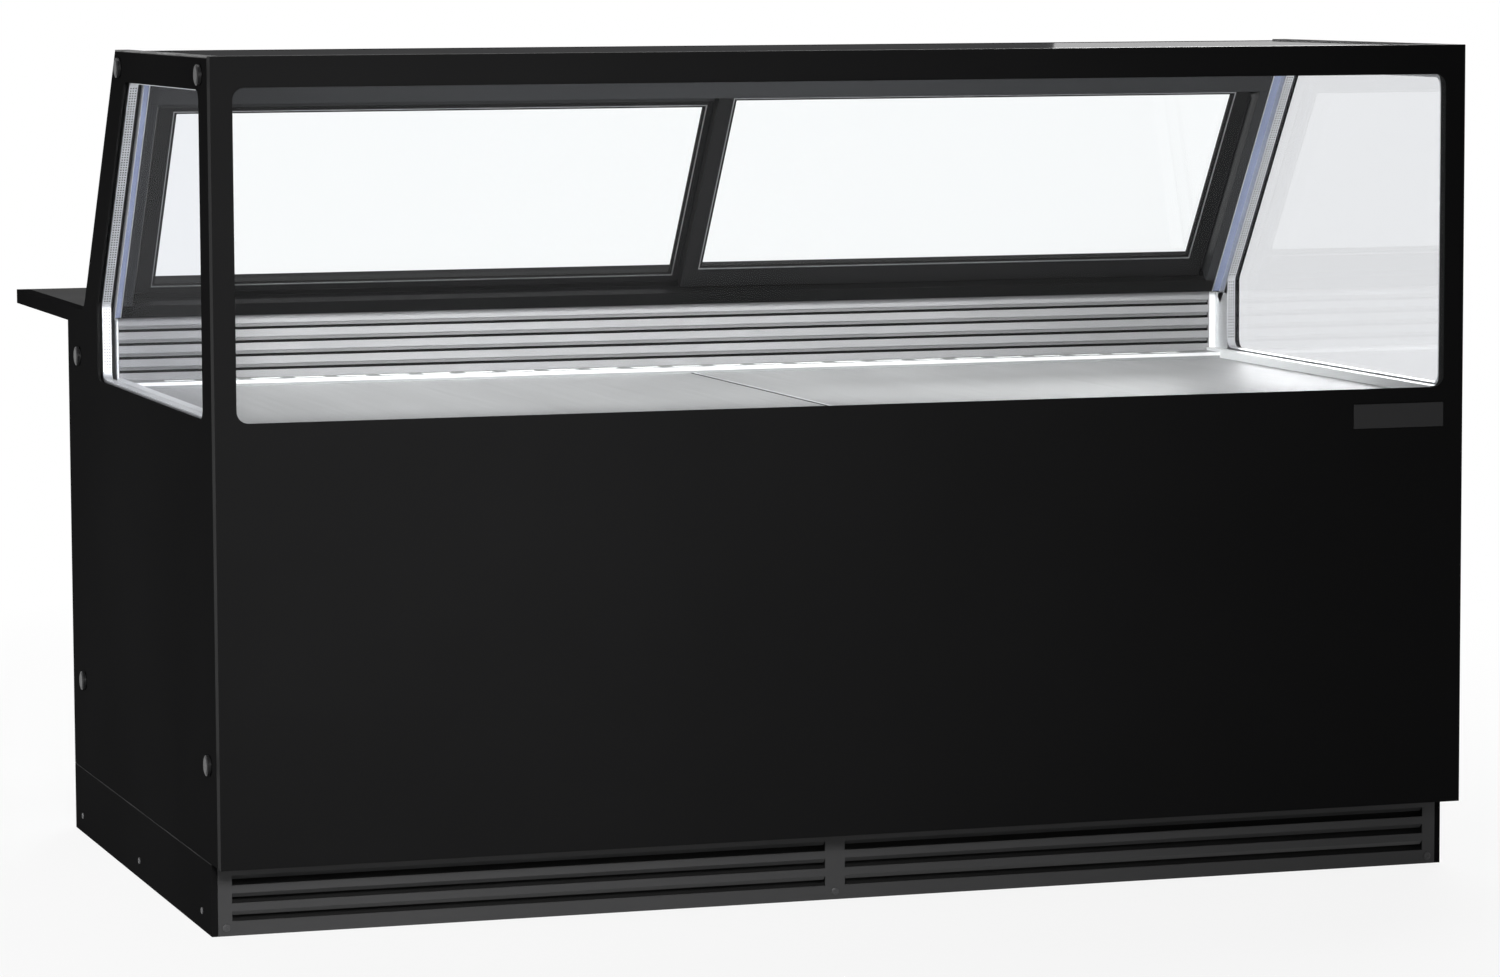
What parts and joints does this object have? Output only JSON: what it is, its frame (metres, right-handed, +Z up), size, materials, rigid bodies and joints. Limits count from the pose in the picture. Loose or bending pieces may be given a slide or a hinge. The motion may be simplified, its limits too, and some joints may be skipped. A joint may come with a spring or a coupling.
{
  "type": "ice cream dipping cabinet",
  "caption": "Refrigerated dipping counter with a glazed front and sides, sliding sloped rear doors, a steel deck over a cold well and a rear worktop.",
  "frame": {"origin": "middle of the floor under the cabinet's overall box", "axes": "+X along the counter (right as the customer sees it), +Y from the customer's front to the server's worktop, +Z up"},
  "size_m": [2.015, 1.6266, 1.306],
  "materials": {
    "black_panel": "satin",
    "black_frame": "satin",
    "door_aluminium": "satin",
    "plinth_grey": "satin",
    "frame_steel": "matte",
    "glass_clear": "gloss",
    "glass_dark": "gloss",
    "spacer_alu": "satin",
    "rubber_black": "matte",
    "grille_grey": "satin",
    "steel_brushed": "satin",
    "white_ledge": "gloss",
    "lamp_diffuser": "satin",
    "foam": "matte",
    "fan_plastic": "satin",
    "motor_grey": "satin",
    "compressor_black": "satin",
    "copper": "satin",
    "zinc_screw": "satin",
    "control_dark": "gloss",
    "switch_green": "gloss",
    "switch_white": "gloss",
    "lever_red": "gloss"
  },
  "bodies": {
    "cabinet": {"base_frame": "frame_steel", "levelling_feet": "fan_plastic", "front_plinth_grille": "plinth_grey", "plinth_side_panels": "black_panel", "rear_plinth_panel": "plinth_grey", "plinth_screws": "zinc_screw", "front_panel": "black_panel", "badge_plate": "control_dark", "left_side_panel": "black_panel", "right_side_panel": "black_panel", "side_panel_caps": "zinc_screw", "front_glass": "glass_clear", "front_glass_seal": "rubber_black", "side_glass_frames": "black_frame", "left_side_glass": "glass_clear", "right_side_glass": "glass_clear", "side_glass_spacers": "spacer_alu", "side_glass_seals": "rubber_black", "top_frame": "door_aluminium", "top_glass": "glass_dark", "lamp_housing": "spacer_alu", "lamp_diffuser": "lamp_diffuser", "door_frame_head": "black_frame", "door_frame_jambs": "black_frame", "door_frame_sill": "black_frame", "rear_air_grille": "grille_grey", "deck_surround": "white_ledge", "inner_tank": "steel_brushed", "foam_insulation": "foam", "tub_rails": "steel_brushed", "fan_partition": "steel_brushed", "evaporator_coil": "spacer_alu", "evaporator_fan_motors": "motor_grey", "drain_pipe": "spacer_alu", "worktop": "black_panel", "worktop_brackets": "frame_steel", "rear_panel": "black_panel", "control_panel": "plinth_grey", "temperature_controller": "control_dark", "machine_tray": "frame_steel", "compressor": "compressor_black", "condenser_coil": "spacer_alu", "condenser_shroud": "fan_plastic", "condenser_fan_motor": "motor_grey", "refrigerant_pipes": "copper", "cable_gland": "fan_plastic"},
    "left_door": {"left_door_frame": "door_aluminium", "left_door_glass": "glass_clear", "left_door_pull": "door_aluminium"},
    "right_door": {"right_door_frame": "door_aluminium", "right_door_glass": "glass_clear", "right_door_pull": "door_aluminium"},
    "left_plate": {"left_deck_plate": "steel_brushed"},
    "right_plate": {"right_deck_plate": "steel_brushed"},
    "left_cold_fan": {"left_evaporator_fan": "fan_plastic"},
    "right_cold_fan": {"right_evaporator_fan": "fan_plastic"},
    "warm_fan": {"condenser_fan": "spacer_alu"},
    "drain_lever": {"drain_valve_lever": "lever_red"},
    "main_rocker": {"main_switch_rocker": "switch_green"},
    "lamp_rocker": {"lamp_switch_rocker": "switch_white"}
  },
  "joints": [
    {"name": "left_door_slide", "type": "slide", "parent": "cabinet", "child": "left_door", "axis": [1, 0, 0], "range_m": [0, 0.88]},
    {"name": "right_door_slide", "type": "slide", "parent": "cabinet", "child": "right_door", "axis": [1, 0, 0], "range_m": [-0.88, 0]},
    {"name": "left_plate_lift", "type": "slide", "parent": "cabinet", "child": "left_plate", "axis": [0, 0, 1], "range_m": [0, 0.14]},
    {"name": "right_plate_lift", "type": "slide", "parent": "cabinet", "child": "right_plate", "axis": [0, 0, 1], "range_m": [0, 0.14]},
    {"name": "left_cold_fan_spin", "type": "hinge", "parent": "cabinet", "child": "left_cold_fan", "pos_m": [-0.45, 0.08125, 0.64], "axis": [0, 1, 0], "continuous": true},
    {"name": "right_cold_fan_spin", "type": "hinge", "parent": "cabinet", "child": "right_cold_fan", "pos_m": [0.45, 0.08125, 0.64], "axis": [0, 1, 0], "continuous": true},
    {"name": "warm_fan_spin", "type": "hinge", "parent": "cabinet", "child": "warm_fan", "pos_m": [0.25, -0.54375, 0.2415], "axis": [0, 1, 0], "continuous": true},
    {"name": "drain_lever_turn", "type": "hinge", "parent": "cabinet", "child": "drain_lever", "pos_m": [-0.85, 0.37525, 0.246], "axis": [0, 0, 1], "range_deg": [0, 90]},
    {"name": "main_switch_tip", "type": "hinge", "parent": "cabinet", "child": "main_rocker", "pos_m": [0.05, 0.39325, 0.79], "axis": [1, 0, 0], "range_deg": [0, 16]},
    {"name": "lamp_switch_tip", "type": "hinge", "parent": "cabinet", "child": "lamp_rocker", "pos_m": [0.1, 0.39325, 0.79], "axis": [1, 0, 0], "range_deg": [0, 16]}
  ]
}
